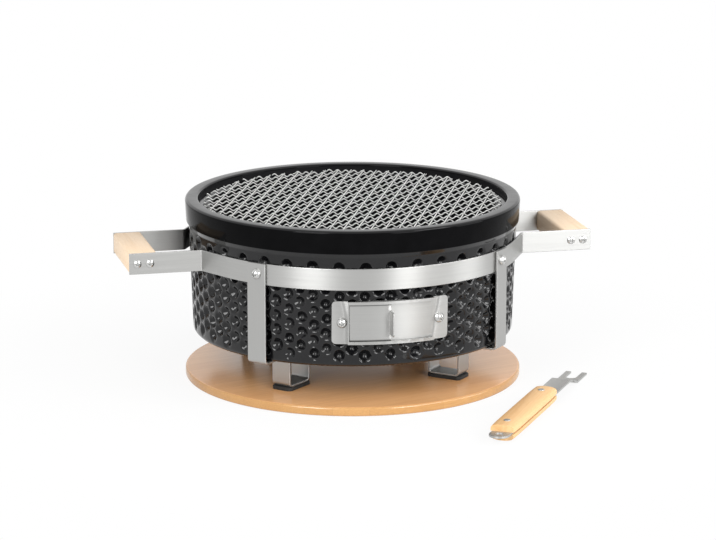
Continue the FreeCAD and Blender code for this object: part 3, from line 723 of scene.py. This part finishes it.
class GRILL_OT_cooking_grid(bpy.types.Operator):
    """Straight warp wires and crimped weft wires woven over and under them"""
    bl_idname = "grill.cooking_grid"
    bl_label = "Woven cooking grid"

    SIDES = 8
    WEFT_STEPS = 361
    CRIMP_SLACK = 0.02 * MM

    def wires(self, grid, pitch, turn, rise, steps):
        """Round wires on chords of a circle: height depends on the place along and the wire's number."""
        count = int((grid.radius - pitch / 2) // pitch)
        number = np.arange(-count, count + 1)
        across = number * pitch
        reach = np.sqrt(grid.radius ** 2 - across ** 2)
        along = np.linspace(-1, 1, steps)[None] * reach[:, None]
        height = rise(along, number[:, None])
        slope = np.gradient(height, axis=1) / np.gradient(along, axis=1)
        lean = np.stack([-slope, np.ones_like(slope)], -1) / np.sqrt(1 + slope ** 2)[..., None]
        ring = np.arange(self.SIDES) * TAU / self.SIDES
        up, side = np.sin(ring) * grid.wire / 2, np.cos(ring) * grid.wire / 2
        s = along[..., None] + lean[..., :1] * up
        z = height[..., None] + lean[..., 1:] * up + (GRID_LO.z + GRID_HI.z) / 2
        a = across[:, None, None] + np.broadcast_to(side, s.shape)
        c, d = math.cos(turn), math.sin(turn)
        points = np.stack([s * c - a * d, s * d + a * c, z], -1)
        return [tube_part(wire) for wire in points]

    def execute(self, context):
        """Straight wires lie level, crimped ones swing through the height of the solid."""
        grid = context.scene.grill_grid
        metal = context.scene.grill_metal
        swing = (GRID_HI.z - GRID_LO.z - grid.wire) / 2 - self.CRIMP_SLACK

        def crimp(s, row):
            """Three half waves from one warp wire to the next, turned over in each second row."""
            return swing * np.where(row % 2, 1, -1) * -np.cos(3 * math.pi * s / grid.warp)

        warp = self.wires(grid, grid.warp, grid.turn, lambda s, row: 0 * s, 2)
        weft = self.wires(grid, grid.weft, grid.turn + math.pi / 2, crimp, self.WEFT_STEPS)
        # The same wire in two tones: painted light on the straight wires, painted shade on the crimped ones.
        drawn = bare_finish("lit_warp_tone", metal.warp, **DRAWN)
        crimped = bare_finish("shaded_weft_tone", metal.weft, **DRAWN)
        make_piece("warp_wires", warp, drawn, "cooking_grid", ("grid_warp",))
        make_piece("weft_wires", weft, crimped, "cooking_grid", ("grid_weft",))
        return {"FINISHED"}


class GRILL_OT_board(bpy.types.Operator):
    """Round laminated board with softened edges"""
    bl_idname = "grill.board"
    bl_label = "Bamboo board"

    SOFT = 2.2 * MM
    SIDES = 240
    LEVEL = 0.8  # faces that look up or down less than this are edge

    def execute(self, context):
        """A rectangle with rounded corners turned about Z. Its edge has a finish of its own."""
        wood = context.scene.grill_wood
        radius, thick = min(BOARD_HI.x, BOARD_HI.y), BOARD_HI.z
        profile = rounded_outline([
            (0, 0, 0), (radius, 0, self.SOFT), (radius, thick, self.SOFT), (0, thick, 0)], 6)
        top = bamboo_finish("bamboo_top", wood.board, toned(wood.board, (0.85, 0.78, 0.7)), wood.strip)
        # The edge gets a darker copy of the bamboo than the top: painted shade on the side faces.
        pale = bamboo_finish("bamboo_side_shaded", wood.edge, toned(wood.edge, (0.8, 0.72, 0.6)), wood.strip)
        board = make_piece("bamboo_board_turned", [turned(profile, self.SIDES)], top, "board",
                           ("bamboo_board",), 60)
        board.data.materials.append(pale)
        edge = abs(of_faces(board.data, "normal")[:, 2]) < self.LEVEL
        board.data.polygons.foreach_set("material_index", edge.astype(np.int32))
        return {"FINISHED"}


class GRILL_OT_strips(bpy.types.Operator):
    """Band halves with their arms, and the leg straps with their feet, all of one flat strip"""
    bl_idname = "grill.strips"
    bl_label = "Band and legs"

    ARM_ROUND, STRAP_ROUND = 2.5 * MM, 4 * MM
    DIP_FROM, DIP_TO = 26 * MM, 18 * MM

    def band(self, way):
        """Arm, bend, arc round the bowl, bend, arm, in plan."""
        y = ARM_Y - STRIP_T / 2
        tangent = math.atan2(y, ARM_BEND_X) + math.acos(BAND_R / math.hypot(ARM_BEND_X, y))
        line = [(-ARM_END_X, y), (-ARM_BEND_X, y), (0, BAND_R / math.sin(tangent)),
                (ARM_BEND_X, y), (ARM_END_X, y)]
        points, along = strip_part([(x, way * v) for x, v in line],
                                   (self.ARM_ROUND, BAND_R, self.ARM_ROUND), 48)
        points[..., 2] += Z_BAND
        return points, along

    def strap(self, dip, angle):
        """Leg, foot, run under the bowl, foot and leg, in the strap's own plane."""
        half = STRIP_T / 2
        z_strap, z_foot = Z_BOWL - half, STRAP_LO.z + half
        out, back = FOOT_OUT_R - half, FOOT_OUT_R - FOOT_LEN + half
        side = [(LEG_R, BAND_HI.z), (LEG_R, z_strap), (out, z_strap), (out, z_foot),
                (back, z_foot), (back, z_strap)]
        if dip:
            side += [(self.DIP_FROM, z_strap), (self.DIP_TO, z_strap - dip)]
        line = side + [(-r, z) for r, z in reversed(side)]
        points, along = strip_part(line, [self.STRAP_ROUND] * (len(line) - 2), 7)
        return round_the_bowl(points[..., [0, 2, 1]], angle), along

    def execute(self, context):
        """One tube for each strip, with the way along it and round it as its UV map."""
        steel = steel_finish("satin_strip", context.scene.grill_metal.strip, "UV", STRIP_BRUSH)
        strips = {"band_front": self.band(-1), "band_rear": self.band(1),
                  "leg_strap_a": self.strap(0, LEG_ANGLE),
                  "leg_strap_b": self.strap(STRAP_DIP, -LEG_ANGLE)}
        for node, (points, along) in strips.items():
            across = np.linspace(0, 2 * STRIP_W, points.shape[1])
            uv = np.stack(np.broadcast_arrays(along[:, None], across[None]), -1).reshape(-1, 2)
            make_piece(node + "_strip", [tube_part(points)], steel, "grill", (node,), 20, uv)
        return {"FINISHED"}


class GRILL_OT_handles(bpy.types.Operator):
    """Wooden grips between the arms"""
    bl_idname = "grill.handles"
    bl_label = "Handles"

    CORNER, EASE = 3 * MM, 0.7 * MM
    EASE_STEPS = np.array([0, 0.3, 1])

    def execute(self, context):
        """Rounded rectangles from one arm to the other, each a little smaller near the ends."""
        wood = context.scene.grill_wood
        beech = wood_finish("beech", wood.beech, toned(wood.beech, (0.90, 0.84, 0.76)), math.radians(90))
        ease = self.EASE_STEPS * self.EASE
        inset = np.concatenate([ease[::-1], ease])
        for name in ("handle_right", "handle_left"):
            low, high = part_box(name)
            size, middle = high - low, (low + high) / 2
            y = np.concatenate([low.y + ease, high.y - ease[::-1]])
            shrink = 1 - 2 * inset[:, None, None] / np.array([size.x, size.z])
            section = rounded_rect(size.x, size.z, self.CORNER, 6)[None] * shrink
            points = np.stack([middle.x + section[..., 0], np.broadcast_to(y[:, None], section.shape[:2]),
                               middle.z + section[..., 1]], -1)
            make_piece(name + "_grip", [tube_part(points)], beech, "grill", (name,), 30)
        return {"FINISHED"}


class GRILL_OT_fixings(bpy.types.Operator):
    """Dome bolts of legs and air door, the strap rivet, and the screws of the handles"""
    bl_idname = "grill.fixings"
    bl_label = "Bolts and screws"

    SIDES = 48
    RINGS = np.concatenate([np.linspace(0, 0.62, 9), [0.72, 0.84, 0.93, 0.985, 1.0, 1.0]])
    DOME_FALL, DOME_POWER = 0.72, 2.4
    ARM_HALF, ARM_SLOPE, ARM_REACH, END_SLOPE = 0.17, 0.05, 0.56, 0.08  # shares of the head's radius
    SUNK = 0.2 * MM

    BOLT_T, BOLT_RECESS = 4.2 * MM, 1.5 * MM
    SCREW_T, SCREW_RECESS = 2.1 * MM, 1.1 * MM
    SCREW_INSETS = 8 * MM, 20.5 * MM  # from the arm's end
    VENT_BOLT_ANGLE, FRAME_PROUD = 17.08, 1.7 * MM
    RIVET_R, RIVET_HEAD_R, RIVET_HEAD_T, RIVET_ROUND = 3 * MM, 6 * MM, 2 * MM, 1.5 * MM

    def cross_head(self, radius, height, depth):
        """Dome on a short skirt: height falls as a power of the radius, less a cross-shaped recess.

        The recess is the product of two ramps, one across the cross's arm and one towards its end.
        """
        angle = np.arange(self.SIDES) * TAU / self.SIDES
        ring = self.RINGS[1:, None]
        x, y = ring * radius * np.cos(angle), ring * radius * np.sin(angle)
        arm, long = np.minimum(abs(x), abs(y)), np.maximum(abs(x), abs(y))
        across = np.clip((self.ARM_HALF * radius - arm) / (self.ARM_SLOPE * radius), 0, 1)
        along = np.clip((self.ARM_REACH * radius - long) / (self.END_SLOPE * radius), 0, 1)
        z = height * (1 - self.DOME_FALL * ring ** self.DOME_POWER) - depth * across * along
        z[-1] = -self.SUNK
        points = np.stack([x, y, z], -1)
        top = np.array([[0, 0, height - depth]])
        rows = len(ring)
        j = np.arange(self.SIDES)
        fan = np.stack([np.full(self.SIDES, rows * self.SIDES), j, (j + 1) % self.SIDES], -1)
        under = (rows - 1) * self.SIDES + j[None, ::-1]
        return np.concatenate([points.reshape(-1, 3), top]), [grid_quads(rows, self.SIDES), fan, under]

    def execute(self, context):
        """Heads on legs and air door, a turned rivet, and screws along the arms."""
        metal = context.scene.grill_metal
        steel = bare_finish("bright_steel", metal.bright, **PLATED)
        head, faces = self.cross_head(metal.bolt, self.BOLT_T, self.BOLT_RECESS)
        frame_r = wall_radius(VENT_Z) + self.FRAME_PROUD
        places = [(angle, LEG_OUT_R, Z_BAND) for angle in LEG_ANGLES]
        places += [(angle, frame_r, VENT_Z) for angle in (-self.VENT_BOLT_ANGLE, self.VENT_BOLT_ANGLE)]
        bolts = [(round_the_bowl(placed(head, (1, 0, 0), (r, 0, z)), angle), faces) for angle, r, z in places]
        under = Z_BOWL - STRIP_T - STRAP_DIP
        low = under - self.RIVET_HEAD_T
        rivet = rounded_outline([
            (0, low, 0), (self.RIVET_HEAD_R, low, self.RIVET_ROUND), (self.RIVET_HEAD_R, under, 0),
            (self.RIVET_R, under, 0), (self.RIVET_R, Z_BOWL, 0), (0, Z_BOWL, 0)], 5)
        bolts.append(turned(rivet, 32))
        make_piece("dome_bolts", bolts, steel, "grill", ("fixings",), 40)
        small, faces = self.cross_head(metal.screw, self.SCREW_T, self.SCREW_RECESS)
        screws = [(placed(small, (0, y, 0), (x * (ARM_END_X - inset), y * ARM_Y, Z_BAND)), faces)
                  for x in (-1, 1) for y in (-1, 1) for inset in self.SCREW_INSETS]
        make_piece("handle_screws", screws, steel, "grill", (), 40)
        return {"FINISHED"}


class GRILL_OT_air_door(bpy.types.Operator):
    """Pressed frame with rails, and the curved door that slides in it"""
    bl_idname = "grill.air_door"
    bl_label = "Air door"

    LIP, FOLDED_LIP = 6 * MM, 3 * MM
    ON_EDGE = 0.01 * MM

    def narrow_lips(self, points):
        """Rail lips as narrow folds: points on a lip's free edge move towards the rail's back."""
        for edge, way in ((FRAME_LO.z, 1), (FRAME_HI.z, -1)):
            free = abs(points[:, 2] - edge - way * self.LIP) < self.ON_EDGE
            points[free, 2] = edge + way * self.FOLDED_LIP
        return points

    def execute(self, context):
        """Both solids softened, the frame with narrower lips and the door with a painted shade line under
        them.
        """
        metal = context.scene.grill_metal
        softened_copy("vent_frame", "air_door_frame", 0.25 * MM, satin_plate(metal), "grill",
                      self.narrow_lips)
        gap = (FRAME_HI.z - FRAME_LO.z) / 2 - self.FOLDED_LIP
        # The door's steel carries a painted shade line under the rails.
        door = steel_finish("door_steel_shaded_rails", metal.strip, "Object", PLATE_BRUSH, gap)
        softened_copy("vent_door", "air_door_slide", 0.3 * MM, door, "air_door")
        return {"FINISHED"}


class GRILL_OT_grate(bpy.types.Operator):
    """Cast charcoal grate"""
    bl_idname = "grill.grate"
    bl_label = "Charcoal grate"

    def execute(self, context):
        """The solid, softened."""
        softened_copy("charcoal_grate", "cast_grate", 0.8 * MM, iron_finish(), "grate")
        return {"FINISHED"}


class GRILL_OT_foot_pads(bpy.types.Operator):
    """Rubber pads under the feet"""
    bl_idname = "grill.foot_pads"
    bl_label = "Foot pads"

    def execute(self, context):
        """The four solids, softened."""
        rubber = rubber_finish()
        for place in ("front_right", "front_left", "rear_right", "rear_left"):
            softened_copy("foot_pad_" + place, "rubber_pad_" + place, 0.5 * MM, rubber, "grill")
        return {"FINISHED"}


class GRILL_OT_lifter(bpy.types.Operator):
    """Grid lifter: forked blade, two wooden scales and their rivets"""
    bl_idname = "grill.lifter"
    bl_label = "Grid lifter"

    NARROWING, THINNING = 0.05, 0.04  # at the grip's ends, shares of its width and of a scale's height
    FULLNESS = 0.42  # power of the section's sine: a lower one is squarer
    RIVET_X, RIVET_R, RIVET_ROUND = 56 * MM, 3.4 * MM, 0.6 * MM
    RIVET_LOW, RIVET_PROUD = 0.3 * MM, 0.5 * MM

    def laid(self, points):
        """Points built along X from the middle of the grip, turned and laid where the solid lies."""
        return about_z(points, LIFTER_TURN) + np.array([GRIP_MID.x, GRIP_MID.y, 0])

    def scale(self, z0, z1, crown):
        """Half-round scale: across it is a cosine, its rise a low power of the sine, less at both ends."""
        t = np.linspace(-1, 1, 41)
        half = GRIP_W / 2 * (1 - self.NARROWING * abs(t) ** 6)
        turn = np.linspace(0, math.pi, 17)
        rise = np.sin(turn) ** self.FULLNESS
        lift = (z1 - z0) * (1 - self.THINNING * abs(t) ** 8)
        y = half[:, None] * np.cos(turn)[None]
        z = z0 + lift[:, None] * rise[None] if crown > 0 else z1 - lift[:, None] * rise[None]
        x = np.broadcast_to(t[:, None] * GRIP_LEN / 2, y.shape)
        return tube_part(np.stack([x, y, z], -1))

    def execute(self, context):
        """The blade softened, a scale on each side of it, and pins turned through both."""
        wood, metal = context.scene.grill_wood, context.scene.grill_metal
        softened_copy("lifter_blade", "lifter_fork_blade", 0.3 * MM, satin_plate(metal), "lifter")
        dark = toned(wood.grip, (0.82, 0.72, 0.58))
        grip = wood_finish("grip_wood", wood.grip, dark, -LIFTER_TURN, 60)
        lower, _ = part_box("lifter_scale_lower")
        thick = GRIP_HI.z - GRIP_LO.z
        for name, z0, crown in (("lower", lower.z, -1), ("upper", GRIP_LO.z, 1)):
            points, faces = self.scale(z0, z0 + thick, crown)
            make_piece("grip_scale_" + name, [(self.laid(points), faces)], grip, "lifter",
                       ("lifter_scale_" + name,), 45)
        head = GRIP_HI.z + self.RIVET_PROUD
        pin = rounded_outline([
            (0, self.RIVET_LOW, 0), (self.RIVET_R, self.RIVET_LOW, 0), (self.RIVET_R, head, self.RIVET_ROUND),
            (0, head, 0)], 5)
        points, faces = turned(pin, 32)
        rivets = [(self.laid(points + np.array([x, 0, 0])), faces) for x in (-self.RIVET_X, self.RIVET_X)]
        make_piece("grip_rivets", rivets, satin_plate(metal), "lifter", (), 35)
        return {"FINISHED"}


class GRILL_OT_stage(bpy.types.Operator):
    """Floor, studio lights, world and the camera"""
    bl_idname = "grill.stage"
    bl_label = "Stage"

    def floor(self, stage):
        """Pale level square that is nearly white to the camera and still takes a soft shadow."""
        corners = np.array([(-1, -1), (1, -1), (-1, 1), (1, 1)]) * FLOOR_HALF
        mesh = bpy.data.meshes.new("floor")
        mesh.from_pydata(np.insert(corners, 2, FLOOR_Z, axis=1).tolist(), [], [(0, 1, 3, 2)])
        f = Finish("floor_paper")
        at = f.coords()
        reach = f.node("VectorMath", at)
        reach.operation = "LENGTH"
        grain = f.noise(at, 900, detail=2)
        paper = f.ramp(grain, (0.3, toned(stage.floor, 0.985)), (0.7, stage.floor))
        f.done(Base_Color=paper, Roughness=0.9, Specular_IOR_Level=0.0)
        glow = f.node("Emission", Color=(1, 1, 1), Strength=1.0)
        white = f.grey(reach.outputs["Value"], stage.glow, 1.0, SHADE_R, WHITE_R)
        share = f.math("MULTIPLY", self.seen(f), white)
        mix = f.node("MixShader", share, f.shader.outputs[0], glow.outputs[0])
        f.fill(f.tree.nodes["Material Output"].inputs[0], mix.outputs[0])
        mesh.materials.append(f.material)
        linked("floor", mesh)

    def seen(self, f):
        """One for the rays that show the background: the camera's own, reflected and refracted ones."""
        path = f.node("LightPath").outputs
        mirrored = f.math("MAXIMUM", path["Is Glossy Ray"], path["Is Transmission Ray"])
        return f.math("MAXIMUM", path["Is Camera Ray"], mirrored)

    def lamp(self, name, place, size, power):
        """Rectangular softbox that faces the grill."""
        light = bpy.data.lights.new(name, "AREA")
        light.shape = "RECTANGLE"
        light.size, light.size_y = size
        light.energy = power
        lamp = linked(name, light)
        lamp.location = place
        lamp.rotation_euler = (Vector(LAMP_AIM) - Vector(place)).to_track_quat("-Z", "Y").to_euler()

    def world(self):
        """White room: full white where it is seen, and dimmer as a light."""
        f = Finish("studio", bpy.data.worlds, "Background")
        return f.done(Color=(1, 1, 1), Strength=f.math("MAXIMUM", self.seen(f), ROOM))

    def camera(self, stage):
        """Camera at its azimuth, elevation and distance from the axis, aimed a little to the right of it."""
        a, e = stage.azimuth, stage.elevation
        away = Vector((math.sin(a) * math.cos(e), -math.cos(a) * math.cos(e), math.sin(e)))
        camera = linked("camera", bpy.data.cameras.new("camera"))
        camera.data.sensor_width = 36
        camera.data.lens = stage.lens
        camera.location = Vector((0, 0, CAMERA_Z)) + away * stage.distance
        aim = Vector((0, 0, AIM_Z)) + Vector((math.cos(a), math.sin(a), 0)) * AIM_RIGHT
        camera.rotation_euler = (aim - camera.location).to_track_quat("-Z", "Y").to_euler()
        bpy.context.scene.camera = camera

    def execute(self, context):
        """Sets up the floor, the camera, the lamps and the world."""
        stage = context.scene.grill_stage
        self.floor(stage)
        self.camera(stage)
        for name, (place, size, power) in LAMPS.items():
            self.lamp(name, place, size, power)
        context.scene.world = self.world()
        context.scene.view_settings.view_transform = "Standard"
        return {"FINISHED"}


class GRILL_PT_panel(bpy.types.Panel):
    """Lists the pieces and the values that shape them"""
    bl_idname = "GRILL_PT_panel"
    bl_label = "Table grill"
    bl_space_type = "VIEW_3D"
    bl_region_type = "UI"
    bl_category = "Grill"

    def draw(self, context):
        """One box for each group of settings, then a button for each piece."""
        for name, group in SETTINGS.items():
            box = self.layout.box()
            settings = getattr(context.scene, name)
            for field in group.__annotations__:
                box.prop(settings, field)
        for operator in OPERATORS:
            self.layout.operator(operator.bl_idname)


SETTINGS = {"grill_glaze": GrillGlaze, "grill_grid": GrillGrid, "grill_metal": GrillMetal,
            "grill_wood": GrillWood, "grill_stage": GrillStage}
OPERATORS = (GRILL_OT_bowl, GRILL_OT_cooking_grid, GRILL_OT_board, GRILL_OT_strips, GRILL_OT_handles,
             GRILL_OT_fixings, GRILL_OT_air_door, GRILL_OT_grate, GRILL_OT_foot_pads, GRILL_OT_lifter,
             GRILL_OT_stage)


def register():
    """Makes the classes known and hangs the settings on the scene."""
    for kind in (*SETTINGS.values(), *OPERATORS, GRILL_PT_panel):
        bpy.utils.register_class(kind)
    for name, group in SETTINGS.items():
        setattr(bpy.types.Scene, name, bpy.props.PointerProperty(type=group))


def unregister():
    """Undoes register."""
    for name in SETTINGS:
        delattr(bpy.types.Scene, name)
    for kind in (GRILL_PT_panel, *OPERATORS[::-1], *SETTINGS.values()):
        bpy.utils.unregister_class(kind)


def main():
    """Registers the classes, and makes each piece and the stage."""
    register()
    for operator in OPERATORS:
        group, name = operator.bl_idname.split(".")
        getattr(getattr(bpy.ops, group), name)()


if __name__ == "__main__":
    main()
